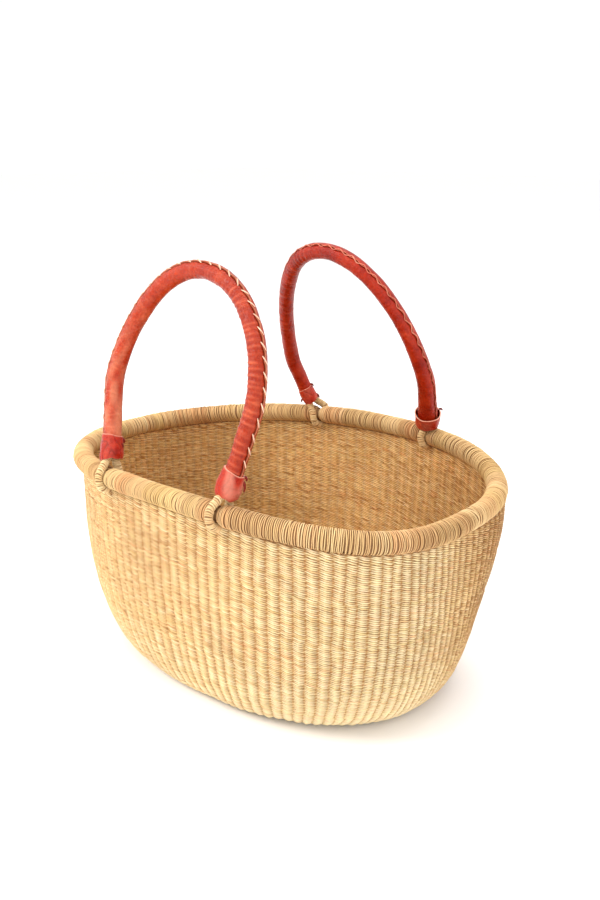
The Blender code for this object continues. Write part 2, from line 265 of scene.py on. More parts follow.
def body_points(turn, level):
    """The wall's outer surface; level runs from 0 at the base to 1 just under the rim's wrapping."""
    x, y = oval(turn, RIM_HALF_LENGTH, RIM_HALF_WIDTH, squareness(turn))
    top = rim_height(x, y)
    under_wrap = top - RIM_WRAP_RADIUS - 0.5 * MM
    out = (1 - (1 - level * under_wrap / top) ** CURVE_IN) ** (1 / CURVE_OUT)
    extra = WALL_PROUD * out + shoulder(turn, level)
    half_length = RIM_HALF_LENGTH * (BASE_LENGTH_RATIO + (1 - BASE_LENGTH_RATIO) * out) + extra
    half_width = RIM_HALF_WIDTH * (BASE_WIDTH_RATIO + (1 - BASE_WIDTH_RATIO) * out) + extra
    square = BASE_SQUARENESS + (squareness(turn) - BASE_SQUARENESS) * out
    x, y = oval(turn, half_length, half_width, square)
    return np.stack([x, y, level * under_wrap], axis=-1)


def handle_axis(shape):
    """The matrix of a handle's frame, on the axis through its two loops, and half the distance between its
    loops.
    """
    left = Vector(rim_points(loop_turn(-1, shape["side"])))
    right = Vector(rim_points(loop_turn(1, shape["side"])))
    along = (right - left).normalized()
    inward = Vector((0, 0, 1)).cross(along).normalized()
    upright = along.cross(inward)
    turned = Matrix((along, inward, upright)).transposed().to_4x4()
    lean = Matrix.Rotation(radians(shape["side"] * shape["lean"]), 4, "X")
    return np.array(Matrix.Translation((left + right) / 2) @ turned @ lean), (right - left).length / 2


def leg_reach(shape, side, height):
    """How far from the arch's middle its legs are, leaning out from the loops to the full width."""
    rise = ((height - LEG_LEAN_START) / (shape["wide_at"] - LEG_LEAN_START)).clip(0)
    span = shape["half_span"]
    return span + (shape["half_width"] - span) * rise * (1 + shape["flare"][side] * (1 - rise) ** 2)


def placed(points, matrix):
    return points @ matrix[:3, :3].T + matrix[:3, 3]


# ---- materials


class Tree:
    """A short way to write a shader's nodes."""

    def __init__(self, name):
        self.material = bpy.data.materials.new(name)
        self.material.use_nodes = True
        self.nodes = self.material.node_tree.nodes
        self.links = self.material.node_tree.links
        self.nodes.clear()
        self.output = self.nodes.new("ShaderNodeOutputMaterial")

    def add(self, kind, inputs=(), **settings):
        made = self.nodes.new("ShaderNode" + kind)
        for key, value in settings.items():
            setattr(made, key, value)
        for key, value in dict(inputs).items():
            if isinstance(value, bpy.types.NodeSocket):
                self.links.new(value, made.inputs[key])
            else:
                made.inputs[key].default_value = value
        return made

    def attribute(self, name, output="Fac"):
        return self.add("Attribute", attribute_name=name).outputs[output]

    def ramp(self, value, stops):
        made = self.add("ValToRGB", {"Fac": value})
        bar = made.color_ramp.elements
        while len(bar) < len(stops):
            bar.new(0.5)
        for slot, (place, colour) in zip(bar, stops):
            slot.position = place
            slot.color = (*colour, 1) if len(colour) == 3 else colour
        return made.outputs["Color"]

    def mix(self, blend, amount, a, b):
        return self.add("Mix", {0: amount, 6: a, 7: b}, data_type="RGBA", blend_type=blend).outputs[2]

    def times(self, colour, by):
        return self.mix("MULTIPLY", 1.0, colour, by)

    def spread(self, value, low, high, from_low=0.0, from_high=1.0):
        return self.add(
            "MapRange",
            {"Value": value, "From Min": from_low, "From Max": from_high, "To Min": low, "To Max": high},
        ).outputs["Result"]

    def noise(self, vector, scale, detail=3.0, roughness=0.55):
        inputs = {"Vector": vector, "Scale": scale, "Detail": detail, "Roughness": roughness}
        return self.add("TexNoise", inputs).outputs["Fac"]

    def grey(self, value):
        return self.add("CombineColor", {"Red": value, "Green": value, "Blue": value}).outputs["Color"]

    def finish(self, colour, roughness, height, strength, distance, **shader):
        bump = self.add("Bump", {"Height": height, "Strength": strength, "Distance": distance})
        inputs = {"Base Color": colour, "Roughness": roughness, "Normal": bump.outputs["Normal"]}
        inputs.update({key.replace("_", " "): value for key, value in shader.items()})
        made = self.add("BsdfPrincipled", inputs)
        self.links.new(made.outputs["BSDF"], self.output.inputs["Surface"])
        return self.material


def grass(name, tones, shade, patch=0.09):
    """Dry grass: each strand has its own tone and fibres run along it; painted shade darkens it where it
    dives in and tints its inward side warm brown.
    """
    t = Tree(name)
    place = t.add("TexCoord").outputs["Object"]
    lay = t.attribute("lay", "Vector")
    fibre = t.noise(lay, 1.0, 3.0, 0.6)
    colour = t.ramp(t.attribute("tone"), tones)
    tints = ((0.0, (1.0, 0.79, 0.68)), (0.42, (1, 0.99, 0.97)), (1.0, (0.98, 1.0, 0.84)))
    colour = t.mix("MULTIPLY", 0.85, colour, t.ramp(t.attribute("tint"), tints))
    broad = t.noise(place, 14.0, 2.0)
    colour = t.times(colour, t.grey(t.spread(broad, 1 - patch, 1 + patch, 0.3, 0.7)))
    colour = t.times(colour, t.grey(t.spread(fibre, 0.84, 1.12, 0.25, 0.75)))
    # Painted shade: darker towards the shade colour where a strand dives in between the ribs and rows, and
    # under the windings.
    colour = t.times(colour, t.ramp(t.attribute("painted_light"), ((0.0, shade), (0.8, (1, 1, 1)))))
    # Painted warm shade: the inward side of the weave and the gaps between ribs are tinted brown, standing in
    # for the shade and bounced light inside the basket.
    painted_inner_shade = t.ramp(t.attribute("inside"), ((0.36, (1, 1, 1)), (0.66, (0.98, 0.84, 0.62))))
    colour = t.times(colour, painted_inner_shade)
    rough = t.spread(fibre, 0.50, 0.72, 0.3, 0.7)
    return t.finish(colour, rough, fibre, 0.5, 0.0004, Specular_IOR_Level=0.3)


def leather(name, tones, edge, rough_low, rough_high):
    """Dyed goat leather: blotchy dye, fine grain, scuffs and a raw pale cut edge, with painted highlight on
    the ridge tops and painted shade in the hollows.
    """
    t = Tree(name)
    place = t.add("TexCoord").outputs["Object"]
    blotch = t.noise(place, 62.0, 5.0, 0.68)
    colour = t.ramp(t.spread(blotch, 0.0, 1.0, 0.28, 0.72), tones)
    speck = t.noise(place, 420.0, 3.0, 0.7)
    colour = t.times(colour, t.grey(t.spread(speck, 0.80, 1.18, 0.3, 0.7)))
    # Mixes in the pale edge colour: real on the cut edges and scuffs, painted highlight on the ridge tops.
    colour = t.mix("MIX", t.attribute("wear_and_highlight"), colour, edge)
    # Painted shade: darker under the lapped edge, between the ridges, in the creases and inside the cuffs.
    colour = t.times(colour, t.grey(t.attribute("painted_shade")))
    cells = t.add("TexVoronoi", {"Vector": place, "Scale": 900.0}, feature="DISTANCE_TO_EDGE")
    grain = cells.outputs["Distance"]
    creases = t.noise(place, 160.0, 5.0, 0.65)
    height = t.add("Math", {0: t.spread(grain, 0.0, 0.5, 0.0, 0.25), 1: creases}, operation="ADD").outputs[0]
    rough = t.spread(blotch, rough_low, rough_high, 0.3, 0.7)
    return t.finish(colour, rough, height, 0.4, 0.0007, Specular_IOR_Level=0.24)


def plain_fibre(name, colour):
    """For the cores and beds, which lie inside the windings and the weave."""
    t = Tree(name)
    place = t.add("TexCoord").outputs["Object"]
    long_noise = t.noise(place, 260.0, 4.0)
    shown = t.times(colour, t.grey(t.spread(long_noise, 0.75, 1.2, 0.3, 0.7)))
    return t.finish(shown, t.spread(long_noise, 0.6, 0.85), long_noise, 0.5, 0.0005)


def dyed(*colours):
    """A leather's four tones, from its darkest blotches to its palest."""
    return tuple(zip((0.0, 0.35, 0.7, 1.0), colours))


STRAW = (
    (0.0, (0.48, 0.265, 0.095)),
    (0.22, (0.68, 0.44, 0.20)),
    (0.6, (0.80, 0.59, 0.315)),
    (1.0, (0.90, 0.75, 0.48)),
)
RIM_STRAW = (
    (0.0, (0.46, 0.26, 0.11)),
    (0.25, (0.62, 0.39, 0.175)),
    (0.6, (0.73, 0.50, 0.245)),
    (1.0, (0.86, 0.67, 0.38)),
)
wall_grass = grass("wall_grass", STRAW, (0.46, 0.29, 0.15))
rim_grass = grass("rim_grass", RIM_STRAW, (0.42, 0.27, 0.15))
# The loops' grass takes the rim's warmer tones, which stand partly for warm light bounced into the shade
# under the cuffs.
strand_grass = grass("strand_grass", RIM_STRAW, (0.46, 0.29, 0.15))
core_grass = plain_fibre("core_grass", (0.50, 0.33, 0.15, 1))
# The beds' dark brown is painted shade: it shows only through the gaps of the weave and between the windings.
painted_shade_bed = plain_fibre("painted_shade_bed", (0.28, 0.14, 0.05, 1))
front_leather = leather(
    "front_leather",
    dyed((0.28, 0.012, 0.002), (0.38, 0.022, 0.003), (0.45, 0.036, 0.006), (0.56, 0.08, 0.026)),
    (0.80, 0.32, 0.17, 1), 0.18, 0.34,
)
rear_leather = leather(
    "rear_leather",
    dyed((0.21, 0.005, 0.0), (0.31, 0.010, 0.0), (0.39, 0.018, 0.001), (0.49, 0.045, 0.010)),
    (0.72, 0.22, 0.12, 1), 0.22, 0.36,
)
cuff_leather = leather(
    "cuff_leather",
    dyed((0.24, 0.006, 0.001), (0.35, 0.010, 0.001), (0.44, 0.025, 0.006), (0.56, 0.08, 0.030)),
    (0.86, 0.42, 0.29, 1), 0.22, 0.36,
)
lace_leather = leather(
    "lace_leather",
    ((0.0, (0.72, 0.34, 0.20)), (0.5, (0.82, 0.50, 0.35)), (1.0, (0.90, 0.64, 0.48))),
    (0.9, 0.6, 0.5, 1), 0.45, 0.6,
)
thread_leather = leather(
    "thread_leather",
    ((0.0, (0.52, 0.09, 0.05)), (0.5, (0.66, 0.19, 0.12)), (1.0, (0.78, 0.32, 0.22))),
    (0.9, 0.5, 0.4, 1), 0.4, 0.55,
)


# ---- the woven body


def wall_grid(turns, rows, count):
    """Points of the outer surface on every meridian, at equal shares of its length up the wall."""
    levels = np.linspace(0, 1, 420) ** 2.4
    dense = body_points(turns[:, None], levels[None])
    stretches = np.linalg.norm(np.diff(dense, axis=1), axis=-1)
    walked = np.concatenate([np.zeros((len(turns), 1)), np.cumsum(stretches, axis=1)], axis=1)
    found = np.empty((len(rows), len(turns), 3))
    for k in range(len(turns)):
        places = rows / count * walked[k, -1]
        for axis in range(3):
            found[:, k, axis] = np.interp(places, walked[k], dense[k, :, axis])
    return found


def base_grid(turns, shares):
    """Rings of the flat base, from its edge at 1 to the spine that it was begun on at 0."""
    half_width = RIM_HALF_WIDTH * BASE_WIDTH_RATIO
    spine = RIM_HALF_LENGTH * BASE_LENGTH_RATIO - half_width
    reach = half_width * shares[:, None]
    x, y = oval(turns[None], spine + reach, reach, BASE_SQUARENESS)
    return np.stack([x, y, np.zeros_like(x)], axis=-1)


def surface_frames(grid, flat):
    """Unit directions round, up and out of a grid of points, rows going up."""
    around = unit(np.roll(grid, -1, axis=1) - np.roll(grid, 1, axis=1))
    up = np.gradient(grid, axis=0)
    out = unit(np.cross(around, up)) if not flat else np.broadcast_to((0.0, 0.0, -1.0), grid.shape)
    return unit(np.cross(out, around)), out


def tones_of(dice, rows, ribs, piece, spread):
    """A tone for each point of two strands a row, which changes where a new blade of grass begins."""
    s = np.arange(ribs * STEPS) / STEPS
    found = np.empty((rows, 2, len(s)))
    for row in range(rows):
        for strand in range(2):
            lengths = dice.uniform(0.5, 1.5, 40) * piece
            joins = np.concatenate([[0], np.cumsum(lengths)])
            values = np.clip(0.55 + spread * dice.standard_normal(41), 0, 1)
            found[row, strand] = values[np.searchsorted(joins, s + dice.uniform(0, piece), side="right") % 41]
    return found


def rib_drift(rows, ribs, dice, reach, stretch):
    """Smooth random values for every rib and row, which change slowly up each rib."""
    high = np.arange(rows)[:, None]
    total = 0
    for _ in range(4):
        waved = high * dice.uniform(0.4, 1.6, ribs) / stretch * 2 * pi + dice.uniform(0, 2 * pi, ribs)
        total = total + np.sin(waved) * dice.standard_normal(ribs)
    return reach * total.clip(-3.6, 3.6) / 2


def along_ribs(values):
    """Spread one value per rib over the steps between it and the next rib."""
    after = np.roll(values, -1, axis=1)
    share = np.array(RIB_SHARES)
    return (values[..., None] * (1 - share) + after[..., None] * share).reshape(values.shape[0], -1)


def weave_regions(turns, high):
    """Where the weave is soft and flat, how far its ribs stand out, and how much paler it is, which is partly
    painted light and shade.
    """
    soft = near_turn(turns, -125, 52) * np.ones_like(high)
    ridged = 0.80 + 0.85 * ((np.cos(turns + 0.25) + 0.25) / 1.1).clip(0, 1) - 0.25 * soft
    low_down = (1 - high / 0.11).clip(0, 1)
    # Paler on the front right and low down, darker at the right rear end and a little on the front left:
    # partly painted light and shade.
    pale = 0.40 * near_turn(turns, -30, 34) - 0.62 * near_turn(turns, 26, 28)
    pale = pale - 0.14 * near_turn(turns, -115, 35) + 0.38 * low_down
    return soft, ridged, low_down, pale


def weave_painted_light(shown, uneven, soft, low_down):
    """The painted shade of each corner of a strand, as how open to the light it is: dark between the ribs and
    along the rows' edges, unevenly from row to row.
    """
    crossing = np.abs(shown) ** 0.5
    least = -0.25 + uneven + 0.25 * np.maximum(soft, low_down)
    outer = least + (1 - least) * crossing
    inner = 0.45 + 0.35 * uneven
    inner = inner + (1 - inner) * crossing
    edge = np.where(shown > 0, 0.32 + 0.12 * soft, 0.14)
    return np.stack([outer, edge * outer, inner, edge * outer], axis=-1)


def twined(name, grid, flat, ribs, pitches, seed, heights):
    """Two strands to a row, twisted round each other so that one shows on each side of every rib."""
    rows, count = grid.shape[:2]
    dice = np.random.default_rng(seed)
    up, out = surface_frames(grid, flat)
    turns = rib_turns(ribs)[None]
    s = turns * ribs / (2 * pi)
    swing = np.cos(pi * s)
    dive = np.sin(pi * s)
    high = heights[:, None]
    middle = grid - (WALL / 2) * out
    lump = layered(turns, high, LUMPS)
    slip = layered(turns, high, SLIPS)
    drift = along_ribs(rib_drift(rows, ribs, np.random.default_rng(7), 0.9 * MM, 60))
    prominence = along_ribs(1 + rib_drift(rows, ribs, np.random.default_rng(8), 0.20, 35))
    soft, ridged, low_down, pale = weave_regions(turns, high)
    # Painted shade between the ribs: darker on every other row, and unevenly from row to row.
    every_other = (np.arange(rows)[:, None] + np.arange(ribs)[None]) % 2
    uneven = (0.55 * every_other + 0.45 * dice.random((2, rows, ribs))).repeat(STEPS, axis=2)
    around = unit(np.cross(up, out))
    middle = middle + out * lump[..., None] * (0.4 if flat else 1) + up * slip[..., None]
    middle = middle + around * drift[..., None] * (0.3 if flat else 1)
    parity = dice.integers(0, 2, rows) * 2 - 1
    points, tone, tint, lay, painted_light, inside = [], [], [], [], [], []
    tones = tones_of(dice, rows, ribs, 9, 0.12) + pale[:, None]
    tints = tones_of(dice, rows, ribs, 9, 0.20)
    own_tone = np.clip(dice.standard_normal((rows, 2, ribs)) * 0.13, -0.40, 0.25).repeat(STEPS, axis=2)
    wide = 1 + 0.12 * dice.standard_normal((rows, 2, ribs)).clip(-2, 2).repeat(STEPS, axis=2)
    wide = (wide + np.roll(wide, 1, axis=2) + np.roll(wide, -1, axis=2)) / 3
    slant = along_ribs(0.36 + 0.07 * dice.standard_normal((rows, ribs)))
    narrow = 0.60 + 0.22 * soft
    tall = pitches[:, None] / 2 * (narrow + (1.06 - narrow) * swing**2)
    half_thick = STRAND_THICK * (0.80 + 0.20 * swing**2)
    filled = np.zeros((rows, count, 4))
    for strand, sign in ((0, 1), (1, -1)):
        side = sign * parity[:, None]
        shown = side * swing
        radial = SWING * shown * np.where(shown > 0, 1.0 if flat else prominence * ridged, 0.85)
        rise = -slant * pitches[:, None] * side * dive
        half_high = tall * wide[:, strand]
        centre = middle + out * radial[..., None] + up * rise[..., None]
        points.append(diamond(centre, out * half_thick[..., None], up * half_high[..., None]))
        own = own_tone[:, strand] * np.where(shown < 0, 2.0, 1.0)
        tone.append(filled + (tones[:, strand] + own)[..., None])
        tint.append(filled + tints[:, strand][..., None])
        # Painted shade on each corner of the strand, and which side faces into the basket for its warm
        # painted shade.
        painted_light.append(weave_painted_light(shown, uneven[strand], soft, low_down))
        inside.append(filled + (0.5 - 0.5 * shown[..., None]))
        which = filled + (np.arange(rows) * 17.3 + strand * 7.1)[:, None, None]
        lay.append(np.stack([filled + (s * 1.4)[..., None], filled + (0, 3.0, 6.0, 3.0), which], axis=-1))
    points = np.stack(points, axis=1)
    found = (("tone", tone), ("tint", tint), ("painted_light", painted_light), ("inside", inside), ("lay", lay))
    values = {key: np.stack(parts, axis=1) for key, parts in found}
    quads = grid_quads(rows * 2, count, 4, True, True)
    add_mesh(name, points, quads, "basket", wall_grass, ("woven_body",), values)
    return middle, out


def ribs_of(name, middles, seed):
    """The upright ribs that the strands are twined round, through each zone of rows."""
    dice = np.random.default_rng(seed)
    points, quads, tone, offset = [], [], [], 0
    for middle in middles:
        path = middle[:, ::STEPS][::2].transpose(1, 0, 2)
        if len(middle) % 2 == 0:
            path = np.concatenate([path, middle[-1:, ::STEPS].transpose(1, 0, 2)], axis=1)
        along = unit(np.gradient(path, axis=1))
        side = unit(np.roll(path, -1, axis=0) - np.roll(path, 1, axis=0))
        out = unit(np.cross(side, along))
        side = np.cross(along, out)
        turns = 2 * pi * np.arange(6) / 6
        ring = out[:, :, None] * np.cos(turns)[:, None] + side[:, :, None] * np.sin(turns)[:, None]
        tube = path[:, :, None] + RIB_RADIUS * ring
        points.append(tube.reshape(-1, 3))
        quads.append(grid_quads(tube.shape[0], tube.shape[1], 6, False, True)[:, ::-1] + offset)
        values = dice.uniform(0.15, 0.5, tube.shape[0])
        tone.append(np.broadcast_to(values[:, None, None], tube.shape[:3]).reshape(-1))
        offset += tube.shape[0] * tube.shape[1] * 6
    points, tone = np.concatenate(points), np.concatenate(tone)
    # The ribs are darkened by a fixed painted shade, as they lie deep in the weave.
    values = {"tone": tone, "tint": tone, "painted_light": 0 * tone + 0.3, "lay": points * 900, "inside": 0 * tone}
    quads = np.concatenate(quads)
    add_mesh(name, points, quads, "basket", wall_grass, ("woven_body",), values)


def weave_bed(name, middle, out):
    """A thin closed layer inside the weave, of the strands' hidden crossings, which lets no light through and
    shows dark in the gaps as painted shade.
    """
    outer, inner = middle + BED_HALF_THICK * out, middle - BED_HALF_THICK * out
    points = np.concatenate([outer, inner[::-1]])
    quads = grid_quads(1, len(points), points.shape[1], True, True)
    add_mesh(name, points, quads, "basket", painted_shade_bed, ("woven_body",))


def woven_body():
    """The wall in bands of rows from the base up, then the base, the bed inside them and the ribs."""
    dice = np.random.default_rng(3)
    turns = rib_turns(RIBS)
    dense = body_points(np.array([-pi / 2]), np.linspace(0, 1, 2000) ** 2.4)
    count = round(np.linalg.norm(np.diff(dense, axis=0), axis=-1).sum() / ROW_PITCH)
    pitches = 1 + 0.07 * dice.standard_normal(count).clip(-2, 2)
    rows = np.cumsum(np.where(dice.random(count) < 0.05, pitches * 1.10, pitches))
    rows = (rows - rows[0] / 2) / rows[-1] * (count - 0.7)
    grid = wall_grid(turns, rows, count)
    high = rows * ROW_PITCH
    middles, outs = [], []
    edges = [round(count * k / WALL_BANDS) for k in range(WALL_BANDS + 1)]
    for k, (low, top) in enumerate(zip(edges, edges[1:])):
        pitch = ROW_PITCH * pitches[low:top]
        band = f"weave_band_{k + 1}"
        middle, out = twined(band, grid[low:top], False, RIBS, pitch, 20 + k, high[low:top])
        middles.append(middle)
        outs.append(out)
    middle, out = np.concatenate(middles), np.concatenate(outs)
    into_rim = middle[-1:] + (0, 0, 5.2 * MM)
    wall_middle = np.concatenate([middle, into_rim])
    picked = np.r_[0 : len(middle) : 3, len(wall_middle) - 1]
    bed_out = np.concatenate([out, out[-1:]])
    weave_bed("weave_bed_wall", wall_middle[picked][:, ::2], bed_out[picked][:, ::2])
    ribs_of("weave_ribs", [wall_middle, *woven_base()], 60)


def woven_base():
    """The flat base, row by row from its edge to its spine; returns the middles of its zones of weave."""
    half_width = RIM_HALF_WIDTH * BASE_WIDTH_RATIO
    middles = []
    for k, (outer, inner, ribs) in enumerate(BASE_ZONES):
        n = round((outer - inner) * half_width / ROW_PITCH)
        shares = inner + (outer - inner) * (np.arange(n) + 0.5) / n
        ring = base_grid(rib_turns(ribs), shares)
        pitch = np.full(n, ROW_PITCH)
        zone = f"weave_base_{k + 1}"
        middle, _ = twined(zone, ring, True, ribs, pitch, 40 + k, -(1 - shares) * half_width)
        middles.append(middle)
    flat = base_grid(rib_turns(RIBS)[::STEPS], np.linspace(0.0, 1.0, 14)) + (0, 0, WALL / 2)
    weave_bed("weave_bed_base", flat, np.broadcast_to((0.0, 0.0, -1.0), flat.shape))
    return middles


# ---- windings round a path


def path_frames(path, across_hint):
    """At each point of a path: unit directions along it, to one side and up, from a hint of which side."""
    along = unit(np.gradient(path, axis=0))
    side = unit(np.cross(along, across_hint))
    return along, side, np.cross(side, along)


def walked_along(path):
    return np.concatenate([[0.0], np.cumsum(np.linalg.norm(np.diff(path, axis=0), axis=-1))])


def sample(path, walked, places):
    return np.stack([np.interp(places, walked, path[:, axis]) for axis in range(3)], axis=-1)


def windings(path, hint, places, radius, half_wide, half_thick, tilt, sides, seed, curve=None):
    """Rings of a strand wound round a path; tilt and curve slide a ring along the path as it goes round."""
    dice = np.random.default_rng(seed)
    walked = walked_along(path)
    turns = 2 * pi * np.arange(sides) / sides
    spots = places[:, None] + tilt[:, None] * radius[:, None] * np.sin(turns[None] - 1.05)
    if curve is not None:
        spots = spots + curve[:, :1] * np.sin(2 * turns[None] + curve[:, 1:])
    spots = spots + dice.normal(0, 0.05 * MM, spots.shape)
    spots = spots.clip(0, walked[-1])
    flat = spots.reshape(-1)
    centre = sample(path, walked, flat)
    along, side, up = path_frames(path, hint)
    along, side, up = (unit(sample(v, walked, flat)) for v in (along, side, up))
    angle = np.broadcast_to(turns[None], spots.shape).reshape(-1)
    outward = side * np.cos(angle)[:, None] + up * np.sin(angle)[:, None]
    tall = (radius[:, None] + dice.normal(0, 0.06 * MM, spots.shape)).reshape(-1)
    middle = centre + outward * tall[:, None]
    wide = np.broadcast_to(half_wide[:, None], spots.shape).reshape(-1)
    thick = np.broadcast_to(half_thick[:, None], spots.shape).reshape(-1)
    points = diamond(middle, outward * thick[:, None], along * wide[:, None])
    quads = grid_quads(len(places), sides, 4, True, True)[:, ::-1]
    return points, quads, spots.shape


def wound(name, rings, tones, painted_groove_light, body, finish, stands_for):
    """Make windings a piece: a tone and a tint for each ring, and how light the painted shade leaves the
    grooves between them.
    """
    points, quads, shape = rings
    rows, sides = shape
    filled = np.zeros((rows, sides, 4))
    tone, tint = (filled + values[:, None, None] for values in tones)
    # Painted shade: each winding darkens towards the grooves at its sides, and most on its inner side against
    # the bed.
    painted_light = filled + (1.0, painted_groove_light, 0.0, painted_groove_light)
    turns = filled + (np.arange(sides) / sides * 9)[:, None]
    which = filled + (np.arange(rows) * 13.7)[:, None, None]
    lay = np.stack([turns, filled + (0, 2.5, 5.0, 2.5), which], axis=-1)
    values = {"tone": tone, "tint": tint, "painted_light": painted_light, "inside": filled, "lay": lay}
    add_mesh(name, points, quads, body, finish, stands_for, values)


def round_bar(path, hint, radius, sides):
    """Points and quads of a bar whose radius may change along the path, closed at its ends."""
    _, side, up = path_frames(path, hint)
    turns = 2 * pi * np.arange(sides) / sides
    ring = side[:, None] * np.cos(turns)[:, None] + up[:, None] * np.sin(turns)[:, None]
    points = path[:, None] + np.broadcast_to(radius, len(path))[:, None, None] * ring
    return points, grid_quads(1, len(path), sides, False, True)[:, ::-1]


def blocks(dice, places, mean, spread, low, high):
    """A value for each place that stays the same over a stretch, then jumps, where new grass is taken up."""
    joins = np.cumsum(dice.uniform(low, high, 400))
    values = mean + spread * dice.standard_normal(401)
    return values[np.searchsorted(joins, places)]


def rounded(radius, from_end):
    """A radius that draws in towards a stretch's end."""
    return radius - RIM_END_ROUNDING * bell(from_end, RIM_END_REACH)


def rim():
    """The wrapping, in four stretches between the loops: close windings over a bed."""
    ends = {
        "front": (loop_turn(-1, -1), loop_turn(1, -1)),
        "right": (loop_turn(1, -1), loop_turn(1, 1)),
        "rear": (loop_turn(1, 1), loop_turn(-1, 1)),
        "left": (loop_turn(-1, 1), loop_turn(-1, -1)),
    }
    up = np.array([0, 0, 1.0])
    for k, (name, (start, stop)) in enumerate(ends.items()):
        stop = stop + 2 * pi if stop < start else stop
        stands_for = (f"rim_wrap_{name}",)
        dice = np.random.default_rng(70 + k)
        path = rim_points(np.linspace(start, stop, 900))
        fine = walked_along(path)
        length = fine[-1]
        places = 0.9 * MM + np.cumsum(dice.uniform(0.80, 1.20, 900) * RIM_PITCH)
        places = places[places < length - 0.9 * MM]
        n = len(places)
        end = np.minimum(places, length - places)
        lumps = 0.22 * MM * np.sin(places / (17 * MM) + k) + 0.13 * MM * dice.standard_normal(n).clip(-2, 2)
        radius = rounded(RIM_WINDING_RADIUS, end) + lumps
        half_wide = RIM_PITCH / 2 * (dice.uniform(0.98, 1.20, n) - RIM_SPLIT[name])
        half_thick = (0.58 if name == "front" else 0.76) * MM * dice.uniform(0.85, 1.15, n)
        leaning = blocks(dice, places, *RIM_LEAN[name], 0.025, 0.07) + dice.normal(0, 0.04, n)
        tilt = leaning.clip(-0.5, 0.5) * np.minimum(1, end / (12 * MM))
        bend = 0.20 * MM * dice.standard_normal(n) * np.minimum(1, end / (9 * MM))
        curve = np.stack([bend, dice.uniform(0, 2 * pi, n)], axis=-1)
        tone = np.clip(blocks(dice, places, *RIM_TONE[name], 0.012, 0.03) + dice.normal(0, 0.10, n), 0, 1)
        tint = np.clip(blocks(dice, places, 0.50, 0.22, 0.012, 0.03) + dice.normal(0, 0.10, n), 0, 1)
        rings = windings(path, up, places, radius, half_wide, half_thick, tilt, 20, 170 + k, curve)
        piece = f"rim_winding_{name}"
        wound(piece, rings, (tone, tint), RIM_PAINTED_GROOVE_LIGHT[name], "basket", rim_grass, stands_for)
        # The bed's dark colour shows in the grooves between the windings as painted shade.
        under = rounded(RIM_BED_RADIUS, np.minimum(fine, length - fine))
        points, quads = round_bar(path[::3], up, under[::3], 14)
        add_mesh(f"rim_bed_{name}", points, quads, "basket", painted_shade_bed, stands_for)


# ---- handles


def arch(shape, start, step):
    """The handle's centre line in its own frame, at even steps from its left leg over to its right one."""
    heights = np.linspace(start, shape["wide_at"], 120, endpoint=False)
    left = np.stack([-leg_reach(shape, -1, heights), 0 * heights, heights], axis=-1)
    right = np.stack([leg_reach(shape, 1, heights), 0 * heights, heights], axis=-1)[::-1]
    turns = np.linspace(0, pi, 400)
    crown = shape["height"] - shape["wide_at"]
    reach = shape["half_width"] * (1 - LEFT_SHOULDER * np.sin(2 * turns).clip(0))
    over = np.stack([-reach * np.cos(turns), 0 * turns, shape["wide_at"] + crown * np.sin(turns)], axis=-1)
    path = np.concatenate([left, over, right])
    walked = walked_along(path)
    places = np.linspace(0, walked[-1], round(walked[-1] / step))
    path = sample(path, walked, places)
    for _ in range(round(2 * (7 * MM / step) ** 2)):
        path[1:-1] = (path[:-2] + 2 * path[1:-1] + path[2:]) / 4
    return path, places


def strand_path(shape, side):
    """Down one leg, round under the rim and up the other; the legs lean out with the handle's."""
    half = LEG_SPACING / 2
    reach = hypot(half, LEG_BEND_HEIGHT)
    leave = atan2(half, LEG_BEND_HEIGHT) + acos(LOOP_RADIUS / reach)
    turns = np.linspace(leave, 2 * pi - leave, 80)
    ring = np.stack([0 * turns, LOOP_RADIUS * np.sin(turns), LOOP_RADIUS * np.cos(turns)], axis=-1)
    near = np.array([(0, half, STRAND_CORE_TOP), (0, half, LEG_BEND_HEIGHT)])
    far = near[::-1] * (1, -1, 1)
    corners = np.concatenate([near, ring, far])
    walked = walked_along(corners)
    places = np.linspace(0, walked[-1], 260)
    path = sample(corners, walked, places)
    for _ in range(30):
        path[1:-1] = (path[:-2] + 2 * path[1:-1] + path[2:]) / 4
    path[:, 0] = side * leg_reach(shape, side, path[:, 2])
    return path


def loops(name, shape, matrix, seed):
    """The handle's two loops round the rim: fine grass wound over a bed."""
    hint = matrix[:3, 0]
    body = f"{name}_handle"
    for side in (-1, 1):
        place = "left" if side < 0 else "right"
        stands_for = (f"{name}_{place}_loop_wrap",)
        path = placed(strand_path(shape, side), matrix)
        dice = np.random.default_rng(seed + side)
        length = walked_along(path)[-1]
        places = np.cumsum(dice.uniform(0.75, 1.25, 300) * LOOP_PITCH[name])
        places = places[places < length - 1 * MM]
        n = len(places)
        radius = np.full(n, LOOP_WINDING_RADIUS) + 0.10 * MM * dice.standard_normal(n)
        tone = blocks(dice, places, LOOP_TONE[name], 0.10, 0.01, 0.03) + dice.normal(0, 0.10, n)
        tint = blocks(dice, places, 0.42, 0.12, 0.01, 0.03) + dice.normal(0, 0.08, n)
        shades = (tone.clip(0, 1), tint.clip(0, 1))
        half_wide = LOOP_PITCH[name] / 2 * dice.uniform(1.02, 1.24, n)
        half_thick = np.full(n, LOOP_HALF_THICK)
        tilt = np.full(n, 0.42) + dice.normal(0, 0.10, n)
        rings = windings(path, hint, places, radius, half_wide, half_thick, tilt, 16, seed + 5 + side)
        piece = f"{name}_{place}_loop_winding"
        wound(piece, rings, shades, 0.3, body, strand_grass, stands_for)
        points, quads = round_bar(path[::2], hint, LOOP_BED_RADIUS, 10)
        add_mesh(f"{name}_{place}_loop_bed", points, quads, body, painted_shade_bed, stands_for)


